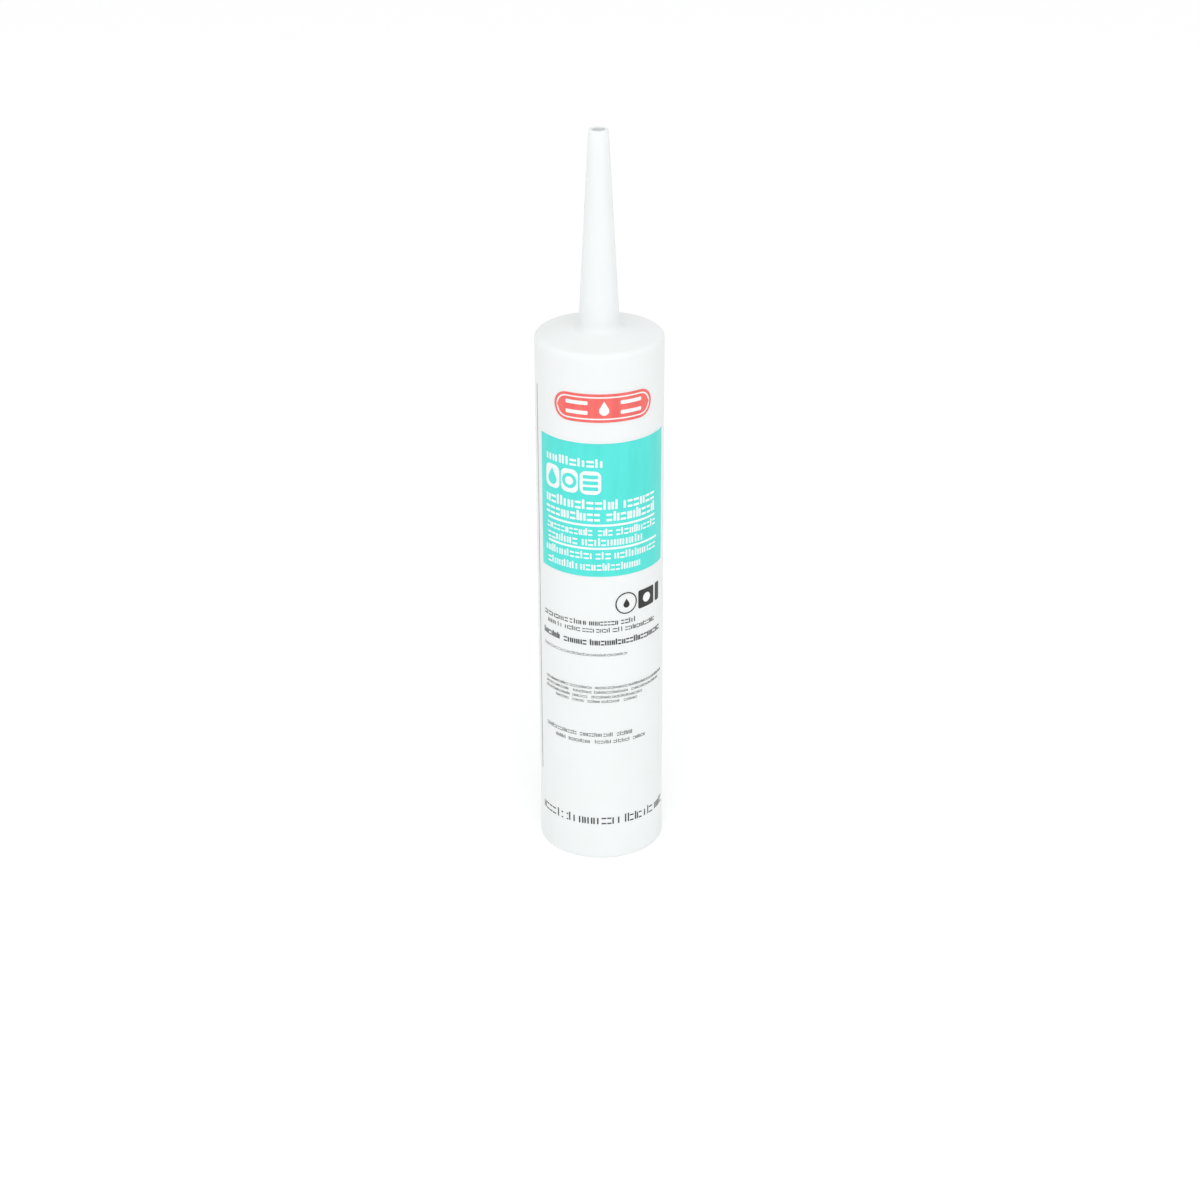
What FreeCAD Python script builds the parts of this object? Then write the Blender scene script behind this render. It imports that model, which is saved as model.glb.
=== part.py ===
import FreeCAD, Part
import math
import os
import Sketcher

# A sealant cartridge that stands on its open rear rim. The barrel, the shoulder and the tapered
# nozzle are one plastic moulding. A cup-shaped plunger closes the rear, and the charge of sealant
# fills the bore between the plunger and the shoulder. The print on the barrel is thin skins of ink.
# Origin: middle of the rear rim. +Z: along the axis to the nozzle's tip. -Y: the front of the label.
# Lengths are in mm. Azimuths are in degrees round the barrel, 0 at the front, positive to the right.

V = FreeCAD.Vector
FRONT = -90.0

sizes = {
    # Barrel and shoulder
    "barrel_length": 217.0,
    "barrel_radius": 24.75,
    "barrel_wall": 1.5,
    "shoulder_wall": 2.0,
    "shoulder_round": 2.0,
    "shoulder_rise": 2.4,
    "rim_round": 0.35,
    # The bore is a little wider just inside the rear rim, where the plunger is put in
    "lead_in_depth": 12.0,
    "lead_in_step": 0.35,
    "lead_in_chamfer": 0.4,
    # Nozzle, whose length is measured from the top of the barrel
    "nozzle_length": 79.0,
    "nozzle_foot_radius": 7.9,
    "nozzle_wall": 1.35,
    "neck_round": 3.5,
    "tip_radius": 3.8,
    "tip_round": 0.3,
    # Plunger
    "plunger_length": 20.0,
    "plunger_margin": 6.3,
    "plunger_clearance": 0.15,
    "lip_tall": 3.0,
    "lip_bevel": 0.5,
    "lip_relief": 0.7,
    "skirt_wall": 1.4,
    "crown_wall": 2.0,
    # Print: the ink's thickness, and the places of its blocks down the barrel
    "ink": 0.1,
    "mark_drop": 15.3,
    "mark_tall": 11.4,
    "mark_line_inset": 1.1,
    "mark_line_wide": 0.55,
    "drop_radius": 1.9,
    "panel_gap": 8.6,
    "panel_tall": 55.35,
    "badge_drop": 12.3,
    "ring_radius": 4.6,
    "ring_wide": 0.5,
    "ring_drop_radius": 1.3,
    "block_tall": 7.8,
    "block_window_radius": 2.0,
    "column_drop": 17.7,
    "column_pitch": 3.4,
    "column_text": 1.5,
    "column_rule": 0.5,
    "foot_block_height": 21.4,
    # How far down each printed row starts from the top or the foot of its block, and how tall it is
    "name_row_drop": 6.2,
    "name_row_tall": 3.5,
    "figure_row_drop": 11.3,
    "figure_row_tall": 9.6,
    "first_title_drop": 23.0,
    "first_title_tall": 4.1,
    "second_title_drop": 27.85,
    "second_title_tall": 4.1,
    "upper_rule_drop": 33.25,
    "upper_rule_tall": 0.9,
    "third_title_drop": 34.95,
    "third_title_tall": 3.1,
    "fourth_title_drop": 38.9,
    "fourth_title_tall": 3.4,
    "lower_rule_drop": 43.0,
    "lower_rule_tall": 0.9,
    "fifth_title_drop": 44.75,
    "fifth_title_tall": 3.2,
    "sixth_title_drop": 49.55,
    "sixth_title_tall": 3.2,
    "use_row_drop": 18.8,
    "use_row_tall": 2.2,
    "fit_row_drop": 22.05,
    "fit_row_tall": 2.0,
    "bold_row_drop": 27.05,
    "bold_row_tall": 2.6,
    "thin_row_drop": 33.3,
    "thin_row_tall": 1.2,
    "small_row_drop": 47.7,
    "small_row_tall": 1.2,
    "small_row_two_drop": 49.75,
    "small_row_two_tall": 1.2,
    "small_row_three_drop": 51.85,
    "small_row_three_tall": 1.2,
    "small_row_four_drop": 53.85,
    "small_row_four_tall": 1.2,
    "grey_row_drop": 68.5,
    "grey_row_tall": 1.8,
    "grey_row_two_drop": 71.75,
    "grey_row_two_tall": 1.6,
    "foot_row_drop": 1.8,
    "foot_row_tall": 3.8,
    "mark_bar_drop": 2.9,
    "mark_bar_tall": 1.5,
    "mark_bar_two_drop": 6.8,
    "mark_bar_two_tall": 1.5,
}
column_rows = 49
paragraph_rows = 9

# Each word of a printed row is a stretch of azimuth, from its left end to its right end
panel_rows = {
    "name_row": ((-54.5, 2.2),),
    "figure_row": ((-55.6, -38.6), (-36.8, -19.8), (-18.1, 1.1)),
    "first_title": ((-55.4, 16.4), (21.1, 56.4)),
    "second_title": ((-55.7, -0.2), (5.4, 56.5)),
    "upper_rule": ((-53.3, 57.4),),
    "third_title": ((-54.6, -7.0), (-2.1, 11.0), (14.1, 58.1)),
    "fourth_title": ((-53.6, -20.8), (-16.6, 40.5)),
    "lower_rule": ((-53.2, 60.4),),
    "fifth_title": ((-56.5, -7.4), (-4.4, 9.4), (12.5, 58.4)),
    "sixth_title": ((-54.1, -21.1), (-18.3, 38.1)),
}
use_rows = {
    "use_row": ((-61.3, -30.9), (-29.1, -26.6), (-24.9, -12.8), (-10.5, 15.8), (18.6, 32.6)),
    "fit_row": ((-56.2, -45.1), (-42.5, -38.4), (-34.2, -18.8), (-16.8, -6.0), (-4.0, 8.1), (10.8, 21.1),
                (22.7, 57.5)),
    "bold_row": ((-62.8, -40.6), (-35.8, -13.0), (-9.9, 67.1)),
    "thin_row": ((-62.3, 24.4),),
}
small_rows = {
    "small_row": ((-59.9, -31.2), (-29.9, -8.6), (-5.5, 25.2), (26.1, 71.3)),
    "small_row_two": ((-60.0, -31.3), (-26.4, -8.6), (-6.3, 25.2), (28.7, 64.8)),
    "small_row_three": ((-60.2, -30.0), (-27.3, -12.5), (-9.0, 9.1), (9.8, 41.0)),
    "small_row_four": ((-45.8, -30.9), (-27.3, -15.8), (-12.5, -1.0), (0.5, 16.9), (21.1, 35.1)),
}
grey_rows = {
    "grey_row": ((-59.6, -23.3), (-20.0, 0.5), (2.0, 10.5), (14.5, 29.6)),
    "grey_row_two": ((-46.5, -35.1), (-31.4, -10.5), (-5.8, 8.9), (11.3, 27.0), (30.6, 44.4)),
}
foot_row = {
    "foot_row": ((-68.6, -48.2), (-45.4, -23.6), (-21.6, -2.9), (-0.1, 12.1), (15.5, 20.4), (22.4, 31.4),
                 (33.0, 40.8), (44.0, 55.9), (59.6, 77.0)),
}
mark_span = (-43.3, 51.1)
mark_bars = ((-31.0, -10.5), (18.5, 38.9))
mark_bar_rows = ("mark_bar", "mark_bar_two")
panel_span = (-63.6, 71.7)
ring_azimuth = 24.0
block_spans = ((36.3, 56.2), (58.8, 65.5))
block_window_azimuth = 46.3
column_spans = ((-199.0, -147.5), (-141.5, -90.0))
column_rule_azimuth = -73.0

doc = FreeCAD.newDocument("caulk_tube")
sheet = doc.addObject("Spreadsheet::Sheet", "Sizes")
for line, (name, value) in enumerate(sizes.items(), start=1):
    sheet.set("A%d" % line, name)
    sheet.set("B%d" % line, str(value))
    sheet.setAlias("B%d" % line, name)
doc.recompute()

# Places that several pieces share, as expressions on the sheet
BORE = "(Sizes.barrel_radius - Sizes.barrel_wall)"
CEILING = "(Sizes.barrel_length - Sizes.shoulder_wall)"
TIP = "(Sizes.barrel_length + Sizes.nozzle_length)"
PLUNGER_FOOT = "(Sizes.lead_in_depth + Sizes.plunger_margin)"
PLUNGER_FRONT = "(%s + Sizes.plunger_length)" % PLUNGER_FOOT
CROWN_BACK = "(%s - Sizes.crown_wall)" % PLUNGER_FRONT
LIP = "(%s - Sizes.plunger_clearance)" % BORE
RELIEF = "(%s - Sizes.lip_relief)" % LIP
SKIRT_INSIDE = "(%s - Sizes.skirt_wall)" % RELIEF
MARK_TOP = "(Sizes.barrel_length - Sizes.mark_drop)"
PANEL_TOP = "(%s - Sizes.mark_tall - Sizes.panel_gap)" % MARK_TOP
PANEL_FOOT = "(%s - Sizes.panel_tall)" % PANEL_TOP
COLUMN_TOP = "(Sizes.barrel_length - Sizes.column_drop)"
BEYOND_INK = "(Sizes.barrel_radius + 2 * Sizes.ink)"
UNDER_INK = "(Sizes.barrel_radius - Sizes.barrel_wall)"


def value_of(expression):
    """The number that an expression on the sheet stands for."""
    return float(sheet.evalExpression(expression))


def turn_of(length):
    """The azimuth in degrees that a length round the barrel covers."""
    return math.degrees(length / sheet.barrel_radius)


def origin_feature(body, role):
    """One of a body's own planes or axes."""
    return [feature for feature in body.Origin.OriginFeatures if feature.Role == role][0]


def new_body(label):
    body = doc.addObject("PartDesign::Body", label)
    body.Label = label
    return body


def new_sketch(body, name, role):
    sketch = body.newObject("Sketcher::SketchObject", name)
    sketch.AttachmentSupport = (origin_feature(body, role), [""])
    sketch.MapMode = "FlatFace"
    return sketch


def bind(sketch, kind, vertex, expression, name):
    """Hold one coordinate of a corner to an expression, measured from the sketch's origin."""
    if expression == "0":
        axis = -2 if kind == "DistanceX" else -1
        sketch.addConstraint(Sketcher.Constraint("PointOnObject", vertex, 1, axis))
        return
    distance = value_of(expression)
    sketch.addConstraint(Sketcher.Constraint(kind, -1, 1, vertex, 1, distance))
    sketch.renameConstraint(sketch.ConstraintCount - 1, name)
    sketch.setExpression("Constraints." + name, expression)


def outline(body, name, role, corners):
    """A closed outline of straight sides whose corners are pairs of expressions."""
    sketch = new_sketch(body, name, role)
    places = [V(value_of(across), value_of(along), 0) for across, along in corners]
    count = len(places)
    for corner in range(count):
        side = Part.LineSegment(places[corner], places[(corner + 1) % count])
        sketch.addGeometry(side, False)
    for corner in range(count):
        sketch.addConstraint(Sketcher.Constraint("Coincident", corner, 2, (corner + 1) % count, 1))
    for corner, (across, along) in enumerate(corners):
        bind(sketch, "DistanceX", corner, across, "across%d" % corner)
        bind(sketch, "DistanceY", corner, along, "along%d" % corner)
    return sketch


def turn(body, name, corners):
    """A solid turned about the axis from a half section."""
    section = outline(body, name + "_section", "XZ_Plane", corners)
    revolution = body.newObject("PartDesign::Revolution", name)
    revolution.Profile = section
    revolution.ReferenceAxis = (section, ["V_Axis"])
    revolution.Angle = 360
    doc.recompute()
    return revolution


def round_edge(body, name, base, radius, height, size):
    """Round the circular edge of a given radius at a given height."""
    wanted = []
    for number, edge in enumerate(base.Shape.Edges, start=1):
        if not isinstance(edge.Curve, Part.Circle):
            continue
        if abs(edge.Curve.Radius - radius) < 1e-4 and abs(edge.Curve.Center.z - height) < 1e-4:
            wanted.append("Edge%d" % number)
    fillet = body.newObject("PartDesign::Fillet", name)
    fillet.Base = (base, wanted)
    fillet.setExpression("Radius", size)
    doc.recompute()
    return fillet


def make_cartridge():
    """Barrel, shoulder and nozzle: one hollow moulding, open at the rear and at the tip."""
    body = new_body("cartridge")
    widened = "%s + Sizes.lead_in_step" % BORE
    neck_inside = "Sizes.nozzle_foot_radius - Sizes.nozzle_wall"
    neck_height = "Sizes.barrel_length + Sizes.shoulder_rise"
    shell = turn(body, "cartridge_shell", [
        ("%s + Sizes.lead_in_chamfer" % widened, "0"),
        ("Sizes.barrel_radius", "0"),
        ("Sizes.barrel_radius", "Sizes.barrel_length"),
        ("Sizes.nozzle_foot_radius", neck_height),
        ("Sizes.tip_radius", TIP),
        ("Sizes.tip_radius - Sizes.nozzle_wall", TIP),
        (neck_inside, "%s + Sizes.shoulder_rise" % CEILING),
        (BORE, CEILING),
        (BORE, "Sizes.lead_in_depth"),
        (widened, "Sizes.lead_in_depth - Sizes.lead_in_step"),
        (widened, "Sizes.lead_in_chamfer"),
    ])
    radius = sheet.barrel_radius
    top = sheet.barrel_length
    shoulder = round_edge(body, "shoulder_edge", shell, radius, top, "Sizes.shoulder_round")
    neck = round_edge(body, "neck_flare", shoulder, sheet.nozzle_foot_radius, value_of(neck_height),
                      "Sizes.neck_round")
    tip = round_edge(body, "tip_edge", neck, sheet.tip_radius, value_of(TIP), "Sizes.tip_round")
    round_edge(body, "rim_edge", tip, radius, 0.0, "Sizes.rim_round")
    return body


def make_plunger():
    """A cup that is open to the rear, with a sealing lip at each end of its skirt."""
    body = new_body("plunger")
    lip_top = "%s + Sizes.lip_tall" % PLUNGER_FOOT
    lip_foot = "%s - Sizes.lip_tall" % PLUNGER_FRONT
    turn(body, "plunger_cup", [
        (SKIRT_INSIDE, PLUNGER_FOOT),
        ("%s - Sizes.lip_bevel" % LIP, PLUNGER_FOOT),
        (LIP, "%s + Sizes.lip_bevel" % PLUNGER_FOOT),
        (LIP, lip_top),
        (RELIEF, "%s + Sizes.lip_relief" % lip_top),
        (RELIEF, "%s - Sizes.lip_relief" % lip_foot),
        (LIP, lip_foot),
        (LIP, PLUNGER_FRONT),
        ("0", PLUNGER_FRONT),
        ("0", CROWN_BACK),
        (SKIRT_INSIDE, CROWN_BACK),
    ])
    return body


def make_sealant():
    """The charge that fills the bore from the plunger to the foot of the shoulder's cone."""
    charge = doc.addObject("Part::Cylinder", "sealant")
    charge.Label = "sealant"
    charge.setExpression("Radius", BORE)
    charge.setExpression("Height", "%s - %s" % (CEILING, PLUNGER_FRONT))
    charge.setExpression("Placement.Base.z", PLUNGER_FRONT)
    return charge


def make_ink_shell():
    """A tube of ink round the whole barrel, which every printed shape is taken from."""
    skin = doc.addObject("Part::Cylinder", "ink_outside")
    skin.setExpression("Radius", "Sizes.barrel_radius + Sizes.ink")
    skin.setExpression("Height", "Sizes.barrel_length")
    core = doc.addObject("Part::Cylinder", "ink_inside")
    core.setExpression("Radius", "Sizes.barrel_radius")
    core.setExpression("Height", "Sizes.barrel_length")
    shell = doc.addObject("Part::Cut", "ink_shell")
    shell.Base = skin
    shell.Tool = core
    return shell


def make_ink_core():
    """The cylinder that every printed band and disc lies outside."""
    core = doc.addObject("Part::Cylinder", "ink_core")
    core.setExpression("Radius", UNDER_INK)
    core.setExpression("Height", "Sizes.barrel_length")
    return core


def band(name, foot, tall, left, right):
    """A sector from inside the barrel's wall out past the ink, between two azimuths."""
    sector = doc.addObject("Part::Cylinder", name + "_sector")
    sector.setExpression("Radius", BEYOND_INK)
    sector.setExpression("Height", tall)
    sector.Angle = right - left
    sector.Placement.Rotation = FreeCAD.Rotation(V(0, 0, 1), FRONT + left)
    sector.setExpression("Placement.Base.z", foot)
    return less(name, sector, ink_core)


def point_outward(shape, azimuth, height):
    """Lay a shape's own axis along the radius at an azimuth, with its own X axis upwards."""
    turned = FreeCAD.Rotation(V(0, 0, 1), azimuth)
    outward = turned.multVec(V(0, -1, 0))
    shape.Placement.Rotation = FreeCAD.Rotation(V(0, 0, 1), V(0, 0, 0), outward, "ZXY")
    shape.setExpression("Height", "%s / 2" % BEYOND_INK)
    shape.setExpression("Placement.Base.x", "%s / 2 * (%r)" % (BEYOND_INK, outward.x))
    shape.setExpression("Placement.Base.y", "%s / 2 * (%r)" % (BEYOND_INK, outward.y))
    shape.setExpression("Placement.Base.z", height)


def disc(name, azimuth, height, radius):
    """A round plug along the radius, which leaves a disc on the barrel."""
    plug = doc.addObject("Part::Cylinder", name)
    plug.setExpression("Radius", radius)
    point_outward(plug, azimuth, height)
    return plug


def drop(name, azimuth, height, radius):
    """A drop: a disc under a three-sided point whose sides touch it."""
    point = doc.addObject("Part::Prism", name + "_point")
    point.Polygon = 3
    point.setExpression("Circumradius", radius)
    point_outward(point, azimuth, "%s + %s" % (height, radius))
    return joined(name, [disc(name + "_disc", azimuth, height, radius), point])


def capsule(name, foot, tall, left, right):
    """A band with round ends, from one azimuth to another."""
    end_turn = math.degrees(math.asin(value_of(tall) / 2 / sheet.barrel_radius))
    middle = "%s + %s / 2" % (foot, tall)
    return joined(name, [
        band(name + "_band", foot, tall, left + end_turn, right - end_turn),
        disc(name + "_left", left + end_turn, middle, "%s / 2" % tall),
        disc(name + "_right", right - end_turn, middle, "%s / 2" % tall),
    ])


def joined(name, shapes):
    """Shapes that overlap, joined as one."""
    group = doc.addObject("Part::MultiFuse", name)
    group.Shapes = shapes
    return group


def together(name, shapes):
    """Shapes that lie apart, kept as one object."""
    group = doc.addObject("Part::Compound", name)
    group.Links = shapes
    return group


def less(name, base, tool):
    """One object with another taken away."""
    cut = doc.addObject("Part::Cut", name)
    cut.Base = base
    cut.Tool = tool
    return cut


def words_of(rows, datum):
    """A sector for every word of every row, with the rows measured down from a height."""
    sectors = []
    for row_name, words in rows.items():
        foot = "%s - Sizes.%s_drop - Sizes.%s_tall" % (datum, row_name, row_name)
        for number, (left, right) in enumerate(words, start=1):
            word_name = "%s_%d" % (row_name, number)
            sectors.append(band(word_name, foot, "Sizes.%s_tall" % row_name, left, right))
    return sectors


def printed(label, shape, windows=None):
    """The ink that a shape leaves on the barrel, with bare windows in it."""
    layer = doc.addObject("Part::Common", label if windows is None else label + "_field")
    layer.Base = ink_shell
    layer.Tool = shape
    if windows is not None:
        layer = less(label, layer, windows)
    layer.Label = label
    return layer


def make_red_mark():
    """A red rim and, inside a bare line, a red field with a bare drop and two pairs of bare bars."""
    foot = "(%s - Sizes.mark_tall)" % MARK_TOP
    left, right = mark_span
    line_start = turn_of(sheet.mark_line_inset)
    line_end = line_start + turn_of(sheet.mark_line_wide)
    line_inside = "(Sizes.mark_line_inset + Sizes.mark_line_wide)"
    rim = printed(
        "mark_rim",
        capsule("mark_outside", foot, "Sizes.mark_tall", left, right),
        capsule("mark_line_outside", "%s + Sizes.mark_line_inset" % foot,
                "(Sizes.mark_tall - 2 * Sizes.mark_line_inset)", left + line_start, right - line_start))
    middle = "%s + Sizes.mark_tall / 2 - Sizes.drop_radius / 2" % foot
    windows = [drop("mark_drop", (left + right) / 2, middle, "Sizes.drop_radius")]
    for row_name in mark_bar_rows:
        bar_foot = "%s - Sizes.%s_drop - Sizes.%s_tall" % (MARK_TOP, row_name, row_name)
        for number, (bar_left, bar_right) in enumerate(mark_bars, start=1):
            bar_name = "%s_%d" % (row_name, number)
            windows.append(band(bar_name, bar_foot, "Sizes.%s_tall" % row_name, bar_left, bar_right))
    inside = printed(
        "mark_inside",
        capsule("mark_line_inside", "%s + %s" % (foot, line_inside),
                "(Sizes.mark_tall - 2 * %s)" % line_inside, left + line_end, right - line_end),
        together("mark_windows", windows))
    return together("red_mark", [rim, inside])


def make_teal_panel():
    """A teal field whose rows of bars are bare barrel."""
    field = band("panel_band", PANEL_FOOT, "Sizes.panel_tall", *panel_span)
    return printed("teal_panel", field, together("panel_windows", words_of(panel_rows, PANEL_TOP)))


def make_ring_mark():
    """A thin ring round a solid drop."""
    height = "%s - Sizes.badge_drop" % PANEL_FOOT
    ring = less("ring_line",
                disc("ring_outside", ring_azimuth, height, "Sizes.ring_radius"),
                disc("ring_inside", ring_azimuth, height, "Sizes.ring_radius - Sizes.ring_wide"))
    middle = "%s - Sizes.ring_drop_radius / 2" % height
    inner = drop("ring_drop", ring_azimuth, middle, "Sizes.ring_drop_radius")
    return printed("ring_mark", together("ring_shapes", [ring, inner]))


def make_block_mark():
    """A bold block with a round window, beside a bold bar."""
    height = "%s - Sizes.badge_drop" % PANEL_FOOT
    foot = "%s - Sizes.block_tall / 2" % height
    blocks = []
    for number, (left, right) in enumerate(block_spans, start=1):
        blocks.append(band("block_%d" % number, foot, "Sizes.block_tall", left, right))
    window = disc("block_window", block_window_azimuth, height, "Sizes.block_window_radius")
    return printed("block_mark", together("blocks", blocks), window)


def make_rows(label, rows, datum):
    """Rows of bars that stand for lines of print."""
    return printed(label, together(label + "_words", words_of(rows, datum)))


def make_side_columns():
    """Two columns of fine rows round the left side, closed by a thin upright rule."""
    sectors = []
    for row in range(column_rows):
        place = row % paragraph_rows
        if place == paragraph_rows - 1:
            continue
        foot = "%s - %d * Sizes.column_pitch - Sizes.column_text" % (COLUMN_TOP, row)
        last = place == paragraph_rows - 2
        for number, (left, right) in enumerate(column_spans, start=1):
            end = left + (right - left) * (0.6 if last else 1.0)
            sectors.append(band("column_%d_row_%d" % (number, row), foot, "Sizes.column_text", left, end))
    tall = "(%d * Sizes.column_pitch)" % column_rows
    half = turn_of(sheet.column_rule) / 2
    sectors.append(band("column_rule_line", "%s - %s" % (COLUMN_TOP, tall), tall,
                        column_rule_azimuth - half, column_rule_azimuth + half))
    return printed("side_columns", together("column_words", sectors))


ink_shell = make_ink_shell()
ink_core = make_ink_core()
nodes = [
    make_cartridge(),
    make_plunger(),
    make_sealant(),
    make_red_mark(),
    make_teal_panel(),
    make_ring_mark(),
    make_block_mark(),
    make_rows("use_lines", use_rows, PANEL_FOOT),
    make_rows("small_lines", small_rows, PANEL_FOOT),
    make_rows("grey_lines", grey_rows, PANEL_FOOT),
    make_rows("foot_line", foot_row, "Sizes.foot_block_height"),
    make_side_columns(),
]
doc.recompute()

failed = [item.Name for item in doc.Objects if "Invalid" in item.State or "Error" in item.State]
for node in nodes:
    if node.Shape.isNull() or not node.Shape.isValid():
        failed.append(node.Label)
if failed:
    raise SystemExit("these objects failed: %s" % ", ".join(failed))

os.makedirs("parts", exist_ok=True)
for node in nodes:
    node.Shape.exportStep("parts/%s.step" % node.Label)
    print("%-14s %3d solids %12.3f mm3" % (node.Label, len(node.Shape.Solids), node.Shape.Volume))
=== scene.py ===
import bpy
import math
import numpy as np
from mathutils import Matrix, Vector


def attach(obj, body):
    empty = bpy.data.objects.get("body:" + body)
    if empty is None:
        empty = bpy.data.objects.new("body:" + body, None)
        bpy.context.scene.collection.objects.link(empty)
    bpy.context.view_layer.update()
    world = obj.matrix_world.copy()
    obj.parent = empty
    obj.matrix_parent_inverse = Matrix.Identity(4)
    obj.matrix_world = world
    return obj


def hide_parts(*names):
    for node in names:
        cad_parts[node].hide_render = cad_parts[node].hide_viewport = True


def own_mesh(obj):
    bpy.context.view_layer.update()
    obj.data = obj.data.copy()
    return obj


# A sealant cartridge that stands on its open rear rim, with its plunger, its charge and its print.
# Metres, +Z up the barrel, -Y the middle of the printed front. Azimuth is 0 there, positive to the right.

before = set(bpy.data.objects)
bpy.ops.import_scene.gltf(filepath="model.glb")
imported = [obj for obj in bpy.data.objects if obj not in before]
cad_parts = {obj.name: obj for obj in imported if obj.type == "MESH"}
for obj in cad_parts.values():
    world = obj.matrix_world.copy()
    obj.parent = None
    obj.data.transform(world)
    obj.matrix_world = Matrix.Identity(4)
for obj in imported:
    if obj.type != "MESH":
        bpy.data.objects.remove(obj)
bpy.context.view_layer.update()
mm = 0.001
degree = math.pi / 180


# Shader maths as plain expressions

class Shade:
    # One socket of a material's tree: + - * / and ** on it add Math nodes
    def __init__(self, paint, socket):
        self.paint = paint
        self.socket = socket

    def math(self, operation, first, second=0.0, third=0.0):
        return self.paint.add("ShaderNodeMath", {"operation": operation}, {0: first, 1: second, 2: third})

    def __add__(self, other):
        return self.math("ADD", self, other)

    def __sub__(self, other):
        return self.math("SUBTRACT", self, other)

    def __rsub__(self, other):
        return self.math("SUBTRACT", other, self)

    def __mul__(self, other):
        return self.math("MULTIPLY", self, other)

    def __truediv__(self, other):
        return self.math("DIVIDE", self, other)

    def __rtruediv__(self, other):
        return self.math("DIVIDE", other, self)

    def __pow__(self, other):
        return self.math("POWER", self, other)

    def absolute(self):
        return self.math("ABSOLUTE", self)

    def sine(self):
        return self.math("SINE", self)

    def smooth(self, low, high):
        # 0 below low, 1 above high, with soft ends
        return self.paint.add("ShaderNodeMapRange", {"interpolation_type": "SMOOTHSTEP"},
                              {"Value": self, "From Min": low, "From Max": high}, "Result")

    __radd__ = __add__
    __rmul__ = __mul__


class Nodes:
    # A shader tree whose nodes all come from add(). place is where a point is, or where a ray goes to.
    def __init__(self, tree, coordinate):
        self.tree = tree
        self.place = self.add("ShaderNodeTexCoord", {}, {}, coordinate)

    def add(self, kind, settings, sockets, output=0):
        node = self.tree.nodes.new(kind)
        for setting, value in settings.items():
            if setting == "stops":
                self.setStops(node.color_ramp, value)
            else:
                setattr(node, setting, value)
        for socket, value in sockets.items():
            if isinstance(value, Shade):
                self.tree.links.new(value.socket, node.inputs[socket])
            else:
                node.inputs[socket].default_value = value
        return Shade(self, node.outputs[output])

    def setStops(self, ramp, stops):
        while len(ramp.elements) < len(stops):
            ramp.elements.new(1.0)
        for element, (position, colour) in zip(ramp.elements, stops):
            element.position = position
            element.color = (*colour, 1.0)

    def axes(self):
        split = self.add("ShaderNodeSeparateXYZ", {}, {"Vector": self.place})
        outputs = split.socket.node.outputs
        return [Shade(self, outputs[axis]) for axis in range(3)]


class Paint(Nodes):
    # A material with one Principled shader
    def __init__(self, name, **fixed):
        self.material = bpy.data.materials.new(name)
        self.material.use_nodes = True
        super().__init__(self.material.node_tree, "Object")
        self.shader = self.tree.nodes["Principled BSDF"]
        for socket, value in fixed.items():
            self.shader.inputs[socket.replace("_", " ")].default_value = value

    def link(self, **inputs):
        for socket, value in inputs.items():
            self.tree.links.new(value.socket, self.shader.inputs[socket.replace("_", " ")])

    def stretched(self, scale):
        # The object's own coordinates, scaled along each axis
        return self.add("ShaderNodeMapping", {}, {"Vector": self.place, "Scale": scale})

    def noise(self, scale, detail=2.0, vector=None, roughness=0.5):
        return self.add("ShaderNodeTexNoise", {}, {"Vector": vector or self.place, "Scale": scale,
                                                  "Detail": detail, "Roughness": roughness}, "Fac")

    def blend(self, mask, first, second):
        # A colour mix; mask 0 gives the first and 1 the second
        return self.add("ShaderNodeMix", {"data_type": "RGBA"}, {0: mask, 6: first, 7: second}, 2)

    def bump(self, height, distance, strength=1.0):
        return self.add("ShaderNodeBump", {}, {"Strength": strength, "Distance": distance, "Height": height})


def colour(red, green, blue):
    # A colour from its screen values, 0 to 255
    return tuple((v / 255 / 12.92 if v <= 10 else ((v / 255 + 0.055) / 1.055) ** 2.4)
                 for v in (red, green, blue)) + (1.0,)


# Meshes from whole arrays

def meshOf(name, points, faces, material, body="barrel"):
    # faces is a list of arrays, each with one row of corners per face
    mesh = bpy.data.meshes.new(name)
    corners = np.concatenate([f.reshape(-1) for f in faces]).astype(np.int32)
    sizes = np.concatenate([np.full(len(f), f.shape[1]) for f in faces]).astype(np.int32)
    starts = np.concatenate([[0], np.cumsum(sizes)[:-1]]).astype(np.int32)
    mesh.vertices.add(len(points))
    mesh.vertices.foreach_set("co", np.asarray(points, np.float32).reshape(-1))
    mesh.loops.add(len(corners))
    mesh.loops.foreach_set("vertex_index", corners)
    mesh.polygons.add(len(sizes))
    mesh.polygons.foreach_set("loop_start", starts)
    mesh.polygons.foreach_set("loop_total", sizes)
    mesh.polygons.foreach_set("use_smooth", np.ones(len(sizes), bool))
    mesh.update(calc_edges=True)
    mesh.validate()
    mesh.set_sharp_from_angle(angle=35 * degree)
    mesh.materials.append(material)
    piece = bpy.data.objects.new(name, mesh)
    bpy.context.scene.collection.objects.link(piece)
    if body:
        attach(piece, body)
    return piece


def arc(centreR, centreZ, radius, start, end, steps):
    # Points of a circle's arc in the (radius, height) plane, angles in degrees
    angle = np.linspace(start, end, steps) * degree
    return np.column_stack([centreR + radius * np.cos(angle), centreZ + radius * np.sin(angle)])


def run(start, end, steps):
    # Evenly spaced points from start to end, without the end itself
    share = np.linspace(0, 1, steps, endpoint=False)[:, None]
    return np.array(start) * (1 - share) + np.array(end) * share


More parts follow.
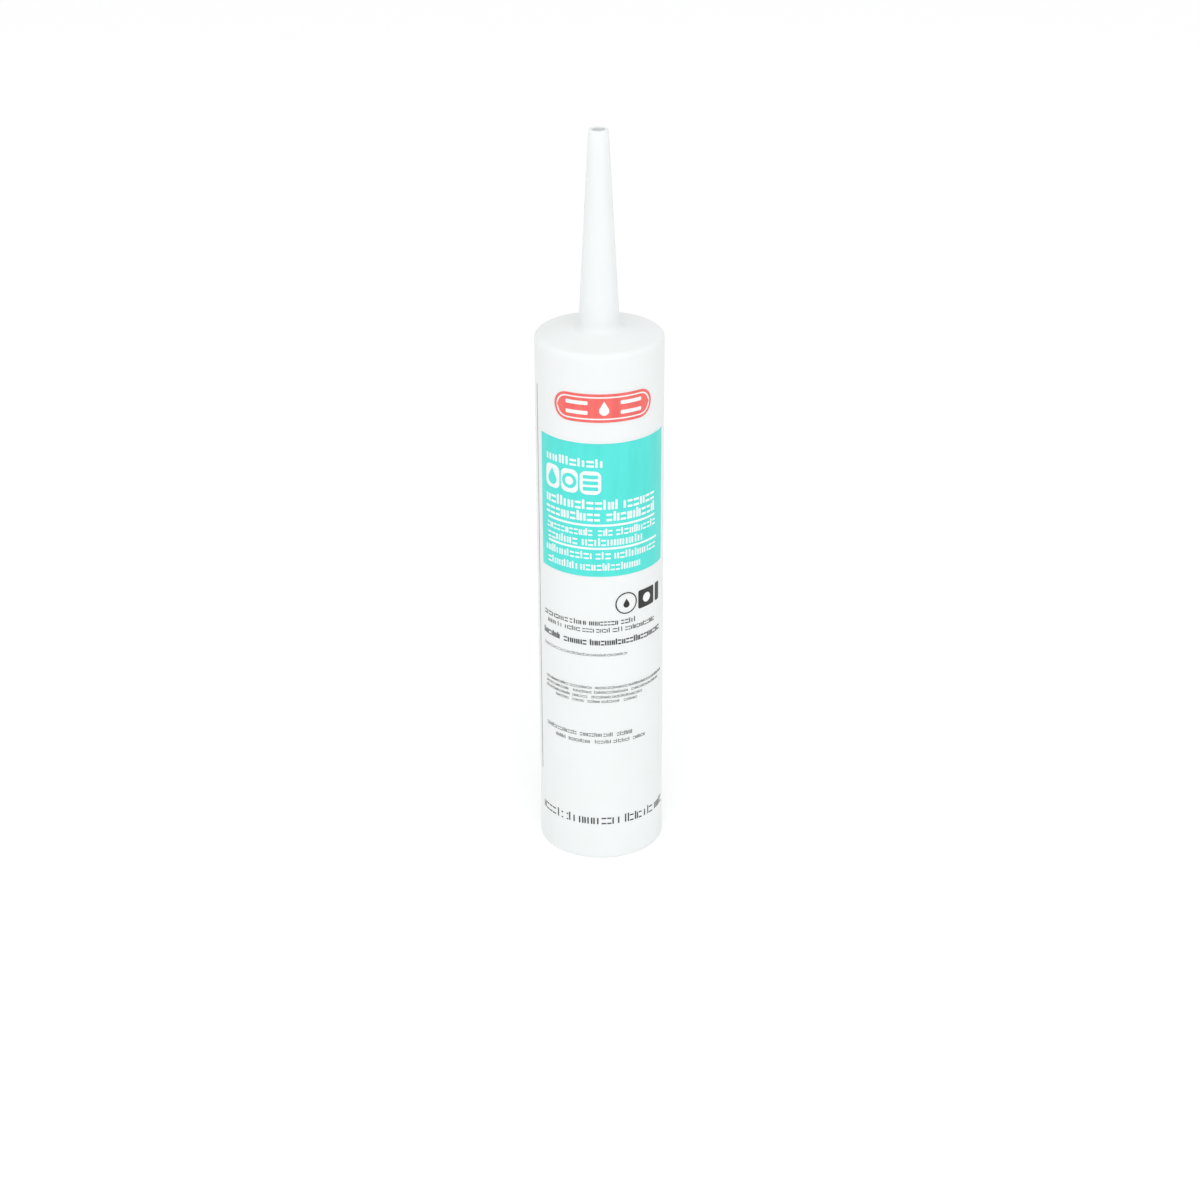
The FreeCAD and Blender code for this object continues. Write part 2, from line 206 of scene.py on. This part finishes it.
def lathe(name, profile, segments, material, body="barrel", shape=None):
    # A closed section turned about Z: point (i, j) is the section's point i at azimuth 2 pi j / segments.
    # The section runs with the solid on its left. A section that starts and ends on the axis gets one
    # vertex at each pole. shape(points, radius, azimuth) may move the points before the mesh is made.
    profile = np.asarray(profile, float)
    poled = profile[0, 0] < 1e-9
    rings = profile[1:-1] if poled else profile
    azimuth = np.arange(segments) * (2 * math.pi / segments)
    radius, height = rings[:, :1], rings[:, 1:]
    points = np.stack([radius * np.sin(azimuth), -radius * np.cos(azimuth),
                       height + 0 * azimuth], axis=2)
    if shape:
        points = shape(points, radius, azimuth)
    points = points.reshape(-1, 3)
    count = len(rings)
    i = np.arange(count - 1 if poled else count)[:, None]
    j = np.arange(segments)[None, :]
    nextI, nextJ = (i + 1) % count, (j + 1) % segments
    quads = np.stack([i * segments + j, i * segments + nextJ, nextI * segments + nextJ,
                      nextI * segments + j], axis=2).reshape(-1, 4)
    faces = [quads]
    if poled:
        first, last = len(points), len(points) + 1
        points = np.vstack([points, [0, 0, profile[0, 1]], [0, 0, profile[-1, 1]]])
        ring = np.arange(segments)
        after = (ring + 1) % segments
        top = (count - 1) * segments
        faces.append(np.column_stack([np.full(segments, first), after, ring]))
        faces.append(np.column_stack([np.full(segments, last), top + ring, top + after]))
    return meshOf(name, points, faces, material, body)


def ribbons(azimuth, low, high, inner, outer):
    # Slabs that lie on the barrel. Each of k slabs has n columns: azimuth, low and high are (k, n) in
    # degrees and mm, and a column's section is the four corners between low and high, inner and outer.
    azimuth, low, high = (np.atleast_2d(np.asarray(a, float)) for a in (azimuth, low, high))
    k, n = azimuth.shape
    angle = azimuth * degree
    radii = np.array([outer, outer, inner, inner])
    heights = np.stack([low, high, high, low], axis=2)
    points = np.stack([radii * np.sin(angle)[:, :, None], -radii * np.cos(angle)[:, :, None], heights], axis=3)
    base = (np.arange(k) * n * 4)[:, None, None] + (np.arange(n - 1) * 4)[None, :, None]
    side = np.arange(4)[None, None, :]
    after = (side + 1) % 4
    quads = np.stack([base + side, base + 4 + side, base + 4 + after, base + after], axis=3).reshape(-1, 4)
    start = np.arange(k) * n * 4
    end = start + (n - 1) * 4
    caps = np.vstack([start[:, None] + np.array([0, 1, 2, 3]), end[:, None] + np.array([3, 2, 1, 0])])
    return points.reshape(-1, 3) * mm, np.vstack([quads, caps])


def printPiece(name, parts, material):
    # One mesh from several (points, quads) pairs
    points, quads, offset = [], [], 0
    for partPoints, partQuads in parts:
        points.append(partPoints)
        quads.append(partQuads + offset)
        offset += len(partPoints)
    return meshOf(name, np.vstack(points), [np.vstack(quads)], material, "barrel")


# Materials

def whitePlastic():
    # Moulded polyethylene: a faint orange-peel skin, draw lines up the barrel and cloudy gloss
    paint = Paint("whitePlastic", Specular_IOR_Level=0.42, Subsurface_Weight=0.3,
                  Subsurface_Radius=(1.0, 1.0, 1.0), Subsurface_Scale=0.003)
    cloud = paint.noise(38.0, 3.0)
    fine = paint.noise(1500.0, 2.0)
    drawn = paint.noise(1.0, 3.0, paint.stretched((900.0, 900.0, 9.0)))
    paint.link(
        Base_Color=paint.blend(cloud.smooth(0.35, 0.7), colour(240, 244, 243), colour(243, 246, 246)),
        Roughness=0.36 + 0.1 * cloud + 0.05 * (fine - 0.5),
        Normal=paint.bump(fine * 0.5 + drawn * 0.5, 0.00003, 0.35))
    return paint.material


def plungerPlastic():
    # Softer, duller plastic with turned rings on its crown
    paint = Paint("plungerPlastic", Specular_IOR_Level=0.35)
    x, y, z = paint.axes()
    reach = (x * x + y * y) ** 0.5
    rings = (reach * 9000.0).sine()
    mottle = paint.noise(120.0, 3.0)
    paint.link(
        Base_Color=paint.blend(mottle, colour(222, 225, 222), colour(232, 234, 231)),
        Roughness=0.45 + 0.12 * mottle,
        Normal=paint.bump(rings * 0.4 + paint.noise(1800.0), 0.00003, 0.3))
    return paint.material


def sealantPaste():
    # Uncured silicone: milky, slick and a little uneven
    paint = Paint("sealantPaste", Subsurface_Weight=0.4, Subsurface_Radius=(1.0, 1.0, 1.0),
                  Subsurface_Scale=0.004)
    flow = paint.noise(60.0, 3.0)
    paint.link(
        Base_Color=paint.blend(flow, colour(224, 229, 227), colour(238, 241, 239)),
        Roughness=0.16 + 0.1 * flow,
        Normal=paint.bump(flow, 0.0003, 0.4))
    return paint.material


def ink(name, pale, deep, gloss):
    # Printed ink: the film's thickness wanders, so its colour and gloss do, and it has pin-holes of grain
    paint = Paint(name, Specular_IOR_Level=0.4)
    film = paint.noise(1.0, 3.0, paint.stretched((260.0, 260.0, 60.0)))
    grain = paint.noise(4200.0, 1.0)
    mask = film.smooth(0.3, 0.72) * 0.75 + grain * 0.25
    paint.link(
        Base_Color=paint.blend(mask, pale, deep),
        Roughness=gloss + 0.12 * film,
        Normal=paint.bump(grain, 0.00002, 0.3))
    return paint.material


white = whitePlastic()
redInk = ink("redInk", colour(246, 111, 105), colour(231, 96, 92), 0.3)
tealInk = ink("tealInk", colour(84, 228, 219), colour(76, 221, 211), 0.3)
blackInk = ink("blackInk", colour(36, 39, 38), colour(26, 29, 29), 0.32)
whiteInk = ink("whiteInk", colour(244, 248, 247), colour(237, 242, 241), 0.34)
greyInk = ink("greyInk", colour(118, 122, 120), colour(98, 102, 100), 0.36)
print("materials made")


# Cartridge: the section of barrel, shoulder and nozzle, in mm

cartridge = {
    "radius": 24.75, "wall": 1.5, "length": 217.0,
    "shoulderWall": 2.0, "shoulderRound": 2.0, "shoulderRise": 2.4,
    "rimRound": 0.35, "leadInDepth": 12.0, "leadInStep": 0.35, "leadInChamfer": 0.4,
    "nozzleFoot": 7.9, "nozzleTop": 296.0, "nozzleWall": 1.35, "neckRound": 3.5,
    "tip": 3.8, "tipRound": 0.3, "segments": 288,
}


def neckArc(c):
    # The flare between the shoulder's slope and the nozzle's taper, tangent to both
    edge = np.array([c["radius"], c["length"]])
    corner = np.array([c["nozzleFoot"], c["length"] + c["shoulderRise"]])
    top = np.array([c["tip"], c["nozzleTop"]])
    along, up = (edge - corner) / np.linalg.norm(edge - corner), (top - corner) / np.linalg.norm(top - corner)
    half = math.acos(np.dot(along, up)) / 2
    middle = (along + up) / np.linalg.norm(along + up)
    centre = corner + middle * c["neckRound"] / math.sin(half)
    touch = [corner + side * c["neckRound"] / math.tan(half) - centre for side in (along, up)]
    start, end = (math.degrees(math.atan2(t[1], t[0])) for t in touch)
    start, end = start % 360, end % 360
    return arc(centre[0], centre[1], c["neckRound"], start, end, 14)


def cartridgeSection(c):
    bore = c["radius"] - c["wall"]
    wide = bore + c["leadInStep"]
    ceiling = c["length"] - c["shoulderWall"]
    edge, rim, tip = c["shoulderRound"], c["rimRound"], c["tipRound"]
    slope = math.atan2(c["shoulderRise"], c["radius"] - c["nozzleFoot"])
    sideTop = c["length"] - edge * (1 - math.sin(slope)) / math.cos(slope)  # where the edge's round starts
    edgeTop = arc(c["radius"] - edge, sideTop, edge, 0, 90 - slope / degree, 10)
    downhill = np.array([0.4, -0.4 * math.tan(slope)])
    neck = neckArc(c)
    innerTop = ceiling + c["shoulderRise"]
    inFoot, inTip = c["nozzleFoot"] - c["nozzleWall"], c["tip"] - c["nozzleWall"]
    return np.vstack([
        run((wide + c["leadInChamfer"], 0), (c["radius"] - rim, 0), 3),
        arc(c["radius"] - rim, rim, rim, -90, 0, 5),
        run((c["radius"], rim + 0.4), (c["radius"], sideTop - 0.4), 26),
        [[c["radius"], sideTop - 0.4]],
        edgeTop,
        run(edgeTop[-1] - downhill, neck[0] + downhill, 7),
        neck,
        run(neck[-1] + [-0.02, 0.4], (c["tip"] + 0.03, c["nozzleTop"] - tip - 0.3), 16),
        arc(c["tip"] - tip, c["nozzleTop"] - tip, tip, 3, 90, 5),
        run((inTip + 0.15, c["nozzleTop"]), (inTip, c["nozzleTop"] - 0.15), 1),
        run((inTip, c["nozzleTop"] - 0.15), (inFoot, innerTop + 0.3), 16),
        run((inFoot, innerTop + 0.3), (inFoot + 0.3, innerTop - 0.04), 1),
        run((inFoot + 0.3, innerTop - 0.04), (bore - 0.3, ceiling + 0.04), 6),
        run((bore - 0.3, ceiling + 0.04), (bore, ceiling - 0.3), 2),
        run((bore, ceiling - 0.3), (bore, c["leadInDepth"]), 20),
        run((bore, c["leadInDepth"]), (wide, c["leadInDepth"] - c["leadInStep"]), 2),
        run((wide, c["leadInDepth"] - c["leadInStep"]), (wide, c["leadInChamfer"]), 4),
        run((wide, c["leadInChamfer"]), (wide + c["leadInChamfer"], 0), 2),
    ])


shell = lathe("cartridgeShell", cartridgeSection(cartridge) * mm, cartridge["segments"], white)
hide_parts("cartridge")
print("cartridge made")


# Plunger: a cup open to the rear, with a sealing lip at each end of its skirt

plunger = {
    "foot": 18.3, "length": 20.0, "lip": 23.1, "lipTall": 3.0, "lipBevel": 0.5, "lipRelief": 0.7,
    "skirt": 1.4, "crown": 2.0, "segments": 192, "soften": 0.2,
}


def plungerSection(p):
    foot, front = p["foot"], p["foot"] + p["length"]
    lip, relief = p["lip"], p["lip"] - p["lipRelief"]
    inside, back, soft = relief - p["skirt"], front - p["crown"], p["soften"]
    return np.vstack([
        [[0, back]],
        run((0.6, back), (inside - soft, back), 12),
        run((inside - soft, back), (inside, back - soft), 2),
        run((inside, back - soft), (inside, foot + soft), 6),
        run((inside, foot + soft), (inside + soft, foot), 2),
        run((inside + soft, foot), (lip - p["lipBevel"], foot), 3),
        run((lip - p["lipBevel"], foot), (lip, foot + p["lipBevel"]), 2),
        run((lip, foot + p["lipBevel"]), (lip, foot + p["lipTall"]), 3),
        run((lip, foot + p["lipTall"]), (relief, foot + p["lipTall"] + p["lipRelief"]), 3),
        run((relief, foot + p["lipTall"] + p["lipRelief"]), (relief, front - p["lipTall"] - p["lipRelief"]), 5),
        run((relief, front - p["lipTall"] - p["lipRelief"]), (lip, front - p["lipTall"]), 3),
        run((lip, front - p["lipTall"]), (lip, front - soft), 3),
        run((lip, front - soft), (lip - soft, front), 2),
        run((lip - soft, front), (0.6, front), 10),
        [[0, front]],
    ])


cup = lathe("plungerCup", plungerSection(plunger) * mm, plunger["segments"], plungerPlastic(), "piston")
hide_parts("plunger")
print("plunger made")


# Sealant: the charge between the plunger and the shoulder

charge = {"low": 38.3, "high": 215.0, "radius": 23.25, "left": 1.7, "segments": 160}


def chargeSection(c):
    soft = 0.3
    return np.vstack([
        [[0, c["low"]]],
        run((0.6, c["low"]), (c["radius"] - soft, c["low"]), 8),
        run((c["radius"] - soft, c["low"]), (c["radius"], c["low"] + soft), 2),
        run((c["radius"], c["low"] + soft), (c["radius"], c["high"] - soft), 30),
        run((c["radius"], c["high"] - soft), (c["radius"] - soft, c["high"]), 2),
        run((c["radius"] - soft, c["high"]), (0.6, c["high"]), 8),
        [[0, c["high"]]],
    ])


paste = lathe("sealantCharge", chargeSection(charge) * mm, charge["segments"], sealantPaste())
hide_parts("sealant")
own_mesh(paste)
print("sealant made")


# Print: heights in mm above the rear rim, azimuths in degrees, ink in mm out from the barrel

ink0, ink1, ink2, ink3 = 24.74, 24.785, 24.82, 24.848
perDegree = cartridge["radius"] * degree

panel = {"span": (-63.6, 71.7), "low": 126.35, "high": 181.7, "corner": 0.4,
         "tiles": ((-55.6, -38.6), (-36.8, -19.8), (-18.1, 1.1)), "tileLow": 160.8, "tileHigh": 170.4,
         "tileCorner": 2.4, "icon": 2.3, "iconBar": 1.5, "iconGap": 0.95, "iconWide": 5.9,
         "rules": ((147.55, 148.45, -53.3, 57.4), (137.8, 138.7, -53.2, 60.4))}
# Each row of print: low, high, its words' ends, and the ends, pitch and weight of its strokes
panelRows = (
    (172.0, 175.5, ((-54.5, 2.2),), 0.8, 0.33),
    (154.6, 158.7, ((-55.4, 16.4), (21.1, 56.4)), 0.66, 0.36),
    (149.75, 153.85, ((-55.7, -0.2), (5.4, 56.5)), 0.66, 0.36),
    (143.65, 146.75, ((-54.6, -7.0), (-2.1, 11.0), (14.1, 58.1)), 0.7, 0.31),
    (139.4, 142.8, ((-53.6, -20.8), (-16.6, 40.5)), 0.7, 0.31),
    (133.75, 136.95, ((-56.5, -7.4), (-4.4, 9.4), (12.5, 58.4)), 0.7, 0.31),
    (128.95, 132.15, ((-54.1, -21.1), (-18.3, 38.1)), 0.7, 0.31),
)


def roundedField(span, low, high, corner, steps=48):
    # A field between two heights whose ends are rounded by a quarter circle at each corner
    left, right = span
    bend = corner / perDegree
    turn = np.linspace(0, math.pi / 2, 7)
    lead = bend * (1 - np.cos(turn))
    azimuth = np.concatenate([left + lead, np.linspace(left + bend, right - bend, steps)[1:-1],
                              right - lead[::-1]])
    inset = corner * (1 - np.sqrt(np.clip(1 - (1 - np.clip(np.minimum(azimuth - left, right - azimuth), 0, bend)
                                               / bend) ** 2, 0, 1)))
    inset = np.minimum(inset, (high - low) / 2 - 0.004)
    return azimuth, low + inset, high - inset


def strokes(words, low, high, pitch, weight, seed):
    # Plain bars in the rhythm of print: starts, ends, lows and highs. A cell is pitch times the row's height
    # wide and a bar weight times that. Each word is cut into cells that hold one upright bar, two, or a
    # pair that lies across, and most stop at three quarters of the row's height.
    rng = np.random.default_rng(seed)
    tall = high - low
    body = low + 0.78 * tall
    cell = tall * pitch / perDegree
    bar = cell * weight
    thick = min(bar * perDegree, 0.3 * tall)
    gap = cell * 0.17
    parts = []
    for left, right in words:
        count = max(1, round((right - left) / cell * 1.12))
        kind = rng.choice(3, count, p=(0.24, 0.4, 0.36))
        widths = rng.uniform(0.92, 1.08, count) * np.array([0.55, 1.0, 1.0])[kind]
        edges = left + (right - left + gap) * np.concatenate([[0], np.cumsum(widths) / widths.sum()])
        start, stop = edges[:-1], edges[1:] - gap
        lows = np.full(count, low)
        tops = np.where(rng.random((2, count)) < np.array([0.55, 0.18, 0.0])[kind], high, body)
        upright = np.column_stack([start, np.minimum(start + bar, stop), lows, tops[0]])[kind < 2]
        second = np.column_stack([stop - bar, stop, lows, tops[1]])[kind == 1]
        under = np.column_stack([start, stop, lows, lows + thick])[kind == 2]
        over = np.column_stack([start, stop, lows + body - low - thick, lows + body - low])[kind == 2]
        parts += [upright, second, under, over]
    return np.vstack(parts).T


def slabs(starts, ends, lows, highs, inner, outer, bend=0.0):
    # Upright slabs; with a bend in mm, each corner is a quarter circle of three columns
    if bend:
        turn = np.linspace(0, math.pi / 2, 3)
        lead, inset = bend / perDegree * (1 - np.cos(turn)), bend * (1 - np.sin(turn))
    else:
        lead, inset = np.zeros(1), np.zeros(1)
    azimuth = np.hstack([starts[:, None] + lead, ends[:, None] - lead[::-1]])
    inset = np.concatenate([inset, inset[::-1]])
    return ribbons(azimuth, lows[:, None] + inset, highs[:, None] - inset, inner, outer)


def makePanel(p):
    field = printPiece("tealField", [ribbons(*roundedField(p["span"], p["low"], p["high"], p["corner"], 60),
                                             ink0, ink1)], tealInk)
    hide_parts("teal_panel")
    parts = []
    for number, row in enumerate(panelRows):
        parts.append(slabs(*strokes(row[2], row[0], row[1], row[3], row[4], 11 + number), ink1 - 0.01, ink2, 0.25))
    for span in p["tiles"]:
        parts.append(ribbons(*roundedField(span, p["tileLow"], p["tileHigh"], p["tileCorner"], 10),
                             ink1 - 0.01, ink2))
    for low, high, left, right in p["rules"]:
        parts.append(ribbons(*roundedField((left, right), low, high, (high - low) / 2, 40), ink1 - 0.01, ink2))
    rows = printPiece("panelRows", parts, whiteInk)
    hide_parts("teal_panel")
    icons = printPiece("tileIcons", tileIcons(p), tealInk)
    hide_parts("teal_panel")


def tileIcons(p):
    # A drop, a ring and three bars, each in the middle of its tile
    middle = (p["tileLow"] + p["tileHigh"]) / 2
    first, second, third = [(left + right) / 2 for left, right in p["tiles"]]
    base, top = ink2 - 0.01, ink3
    parts = [ribbons(*dropShape(first, middle - p["icon"] / 2, p["icon"]), base, top),
             ribbons(*ringShape(second, middle, p["icon"] * 1.35, p["icon"] * 0.6), base, top)]
    half = p["iconWide"] / 2 / perDegree
    for step in (-1, 0, 1):
        low = middle - p["iconBar"] / 2 + step * (p["iconBar"] + p["iconGap"])
        parts.append(ribbons(*roundedField((third - half, third + half), low, low + p["iconBar"], 0.4, 8), base, top))
    return parts


# Shapes of the marks

def capsuleField(span, low, high, steps=40):
    return roundedField(span, low, high, (high - low) / 2 - 0.001, steps)


def dropShape(azimuth, height, radius, steps=25):
    # A disc under a point whose sides touch it: the top follows the tangent lines, the bottom the disc
    across = radius * np.sin(np.linspace(-math.pi / 2, math.pi / 2, steps))
    across[0], across[-1] = -radius * 0.999, radius * 0.999
    reach = np.abs(across)
    disc = np.sqrt(radius ** 2 - across ** 2)
    touch = radius * math.cos(math.pi / 6)
    top = np.where(reach < touch, 2 * radius - reach * math.sqrt(3), disc)
    return azimuth + across / perDegree, height - disc, height + np.maximum(top, disc)


def ringShape(azimuth, height, radius, width, steps=48):
    # A ring's upper and lower halves, each between its outer and inner circle
    across = radius * np.sin(np.linspace(-math.pi / 2, math.pi / 2, steps))
    outer = np.sqrt(np.maximum(radius ** 2 - across ** 2, 0))
    inner = np.sqrt(np.maximum((radius - width) ** 2 - across ** 2, 0))
    outer = np.maximum(outer, inner + 0.004)
    place = azimuth + across / perDegree
    return (np.vstack([place, place]), np.vstack([height + inner, height - outer]),
            np.vstack([height + outer, height - inner]))


makePanel(panel)
print("panel made")


# Red mark: a capsule with a bare line inside its edge, a drop and two pairs of bars

redMark = {"span": (-43.3, 51.1), "low": 190.3, "tall": 11.4, "inset": 1.1, "line": 0.55, "drop": 1.9,
           "bars": ((-31.0, -10.5), (18.5, 38.9)), "barLows": (193.4, 197.3), "barTall": 1.5}


def makeRedMark(r):
    low, high = r["low"], r["low"] + r["tall"]
    left, right = r["span"]
    field = printPiece("redCapsule", [ribbons(*capsuleField(r["span"], low, high), ink0, ink1)], redInk)
    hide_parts("red_mark")
    parts = []
    inset, line = r["inset"], r["line"]
    outerLine = capsuleField((left + inset / perDegree, right - inset / perDegree), low + inset, high - inset, 64)
    azimuth, bottom, top = outerLine
    innerInset = inset + line
    innerLeft, innerRight = left + innerInset / perDegree, right - innerInset / perDegree
    innerRadius = (high - low) / 2 - innerInset
    bend = innerRadius / perDegree
    away = np.clip(np.minimum(azimuth - innerLeft, innerRight - azimuth), 0, bend) / bend
    reach = innerRadius * np.sqrt(np.clip(1 - (1 - away) ** 2, 0, 1))
    middle = (low + high) / 2
    parts.append(ribbons(np.vstack([azimuth, azimuth]),
                         np.vstack([np.minimum(middle + reach, top - 0.004), bottom]),
                         np.vstack([top, np.maximum(middle - reach, bottom + 0.004)]), ink1 - 0.01, ink2))
    parts.append(ribbons(*dropShape((left + right) / 2, middle - r["drop"] / 2, r["drop"]), ink1 - 0.01, ink2))
    for barLow in r["barLows"]:
        for span in r["bars"]:
            parts.append(ribbons(*roundedField(span, barLow, barLow + r["barTall"], 0.4, 10), ink1 - 0.01, ink2))
    rows = printPiece("redMarkLines", parts, whiteInk)
    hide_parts("red_mark")


makeRedMark(redMark)
print("red mark made")


# Small marks under the panel: a ring with a drop, and a bold block with a round window

badges = {"height": 114.05, "ringAzimuth": 24.0, "ring": 4.6, "ringWide": 0.5, "drop": 1.3,
          "blocks": ((36.3, 56.2), (58.8, 65.5)), "blockTall": 7.8, "blockCorner": 0.8,
          "windowAzimuth": 46.3, "window": 2.0}


def makeBadges(b):
    height = b["height"]
    ring = ribbons(*ringShape(b["ringAzimuth"], height, b["ring"], b["ringWide"]), ink0, ink1)
    inner = ribbons(*dropShape(b["ringAzimuth"], height - b["drop"] / 2, b["drop"]), ink0, ink1)
    mark = printPiece("ringMark", [ring, inner], blackInk)
    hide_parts("ring_mark")
    low, high = height - b["blockTall"] / 2, height + b["blockTall"] / 2
    bold = printPiece("boldBlocks", [ribbons(*roundedField(span, low, high, b["blockCorner"], 10), ink0, ink1)
                                     for span in b["blocks"]], blackInk)
    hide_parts("block_mark")
    disc = ringShape(b["windowAzimuth"], height, b["window"], b["window"] - 0.01, 24)
    window = printPiece("boldWindow", [ribbons(*disc, ink1 - 0.01, ink2)], whiteInk)
    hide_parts("block_mark")


makeBadges(badges)
print("badges made")


# Rows of small print, as upright strokes of uneven width and height

useRows = (
    (105.35, 107.55, ((-61.3, -30.9), (-29.1, -26.6), (-24.9, -12.8), (-10.5, 15.8), (18.6, 32.6)), 0.72, 0.27),
    (102.3, 104.3, ((-56.2, -45.1), (-42.5, -38.4), (-34.2, -18.8), (-16.8, -6.0), (-4.0, 8.1),
                    (10.8, 21.1), (22.7, 57.5)), 0.72, 0.25),
    (96.7, 99.3, ((-62.8, -40.6), (-35.8, -13.0), (-9.9, 67.1)), 0.66, 0.33),
    (91.85, 93.05, ((-62.3, 24.4),), 0.7, 0.22),
)
smallRows = (
    (77.45, 78.65, ((-59.9, -31.2), (-29.9, -8.6), (-5.5, 25.2), (26.1, 71.3)), 0.7, 0.32),
    (75.4, 76.6, ((-60.0, -31.3), (-26.4, -8.6), (-6.3, 25.2), (28.7, 64.8)), 0.7, 0.32),
    (73.3, 74.5, ((-60.2, -30.0), (-27.3, -12.5), (-9.0, 9.1), (9.8, 41.0)), 0.7, 0.32),
    (71.3, 72.5, ((-45.8, -30.9), (-27.3, -15.8), (-12.5, -1.0), (0.5, 16.9), (21.1, 35.1)), 0.7, 0.32),
)
greyRows = (
    (56.05, 57.85, ((-59.6, -23.3), (-20.0, 0.5), (2.0, 10.5), (14.5, 29.6)), 0.7, 0.29),
    (53.0, 54.6, ((-46.5, -35.1), (-31.4, -10.5), (-5.8, 8.9), (11.3, 27.0), (30.6, 44.4)), 0.7, 0.29),
)
footRows = (
    (15.8, 19.6, ((-68.6, -48.2), (-45.4, -23.6), (-21.6, -2.9), (-0.1, 12.1), (15.5, 20.4), (22.4, 31.4),
                  (33.0, 40.8), (44.0, 55.9), (59.6, 77.0)), 0.62, 0.24),
)


def makeRows(name, node, rows, material, seed):
    parts = [slabs(*strokes(words, low, high, pitch, weight, seed + number), ink0, ink1, 0.1)
             for number, (low, high, words, pitch, weight) in enumerate(rows)]
    piece = printPiece(name, parts, material)
    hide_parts(node)


makeRows("useLines", "use_lines", useRows, blackInk, 31)
makeRows("smallLines", "small_lines", smallRows, greyInk, 41)
makeRows("greyLines", "grey_lines", greyRows, greyInk, 51)
makeRows("footLine", "foot_line", footRows, blackInk, 61)
print("rows made")


# Columns of fine print round the left side, with an upright rule at their right

columns = {"spans": ((-199.0, -147.5), (-141.5, -90.0)), "top": 199.3, "pitch": 3.4, "tall": 1.5,
           "rows": 49, "paragraph": 9, "rule": 0.5, "ruleAzimuth": -73.0}


def makeColumns(c):
    rng = np.random.default_rng(71)
    parts = []
    for line in range(c["rows"]):
        place = line % c["paragraph"]
        if place == c["paragraph"] - 1:
            continue
        high = c["top"] - line * c["pitch"]
        for left, right in c["spans"]:
            end = left + (right - left) * (0.6 if place == c["paragraph"] - 2 else 1.0)
            words, start = [], left
            while start < end - 3:
                stop = min(end, start + rng.uniform(4, 14))
                words.append((start, stop))
                start = stop + 1.6
            row = strokes(words, high - c["tall"], high, 0.7, 0.24, int(rng.integers(1000)))
            parts.append(slabs(*row, ink0, ink1))
    half = c["rule"] / perDegree / 2
    parts.append(slabs(np.array([c["ruleAzimuth"] - half]), np.array([c["ruleAzimuth"] + half]),
                       np.array([c["top"] - c["rows"] * c["pitch"]]), np.array([c["top"]]), ink0, ink1))
    piece = printPiece("sideColumns", parts, greyInk)
    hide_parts("side_columns")


makeColumns(columns)
print("columns made")


# Floor, light and camera

def pale(name, value, glow):
    paint = Paint(name, Specular_IOR_Level=0.0, Roughness=0.9, Emission_Color=(1, 1, 1, 1), Emission_Strength=glow)
    grain = paint.noise(30.0, 2.0)
    paint.link(Base_Color=paint.blend(grain, (value, value, value, 1), (value * 0.995, value * 0.995, value, 1)))
    return paint.material


def makeFloor(half, steps, glow):
    # A flat square grid under the rear rim
    line = np.linspace(-half, half, steps)
    x, y = np.meshgrid(line, line, indexing="ij")
    i, j = np.meshgrid(np.arange(steps - 1), np.arange(steps - 1), indexing="ij")
    corner = (i * steps + j).reshape(-1)
    quads = np.column_stack([corner, corner + steps, corner + steps + 1, corner + 1])
    points = np.column_stack([x.reshape(-1), y.reshape(-1), np.zeros(steps * steps)])
    floor = meshOf("floor", points, [quads], pale("palePaper", 0.96, glow), None)


def areaLight(name, place, target, width, height, power):
    lamp = bpy.data.lights.new(name, "AREA")
    lamp.shape = "RECTANGLE"
    lamp.size, lamp.size_y = width, height
    lamp.energy = power
    light = bpy.data.objects.new(name, lamp)
    light.location = place
    light.rotation_euler = (Vector(target) - Vector(place)).to_track_quat("-Z", "Y").to_euler()
    bpy.context.scene.collection.objects.link(light)


def makeWorld(s):
    # A white tent that is brighter above and in front, dimmer at the sides, and pale down at the floor
    world = bpy.data.worlds.new("studio")
    bpy.context.scene.world = world
    world.use_nodes = True
    tent = Nodes(world.node_tree, "Generated")
    x, y, z = tent.axes()
    white = (s["level"] + s["up"] * z - s["front"] * y - s["side"] * x.absolute()
             + s["haze"] * z.smooth(s["hazeTop"], 0.0))
    background = world.node_tree.nodes["Background"]
    background.inputs["Color"].default_value = (1, 1, 1, 1)
    world.node_tree.links.new(white.socket, background.inputs["Strength"])


studio = {"level": 0.48, "up": 0.78, "front": 0.12, "side": 0.24, "haze": 0.4, "hazeTop": 0.34,
          "keyPlace": (0.0, -1.9, 1.6), "keyPower": 11.0, "floorGlow": 0.09}
camera = {"distance": 1.0709, "height": 0.1043, "pitch": 26.134, "lens": 81.0, "lean": 0.2676, "aside": -0.00047}


def makeCamera(c):
    pitch = c["pitch"] * degree
    data = bpy.data.cameras.new("camera")
    data.lens, data.sensor_width, data.shift_x = c["lens"], 36.0, c["aside"]
    data.clip_start, data.clip_end = 0.01, 100
    eye = bpy.data.objects.new("camera", data)
    bpy.context.scene.collection.objects.link(eye)
    place = Vector((0, -c["distance"] * math.cos(pitch), c["height"] + c["distance"] * math.sin(pitch)))
    eye.matrix_world = (Matrix.Translation(place) @ Matrix.Rotation(math.pi / 2 - pitch, 4, "X")
                        @ Matrix.Rotation(-c["lean"] * degree, 4, "Z"))
    bpy.context.scene.camera = eye


makeFloor(24.0, 13, studio["floorGlow"])
makeWorld(studio)
areaLight("key", studio["keyPlace"], (0, 0, 0.12), 2.2, 1.6, studio["keyPower"])
makeCamera(camera)
bpy.context.scene.view_settings.view_transform = "Standard"
bpy.context.scene.view_settings.look = "None"
print("stage made")
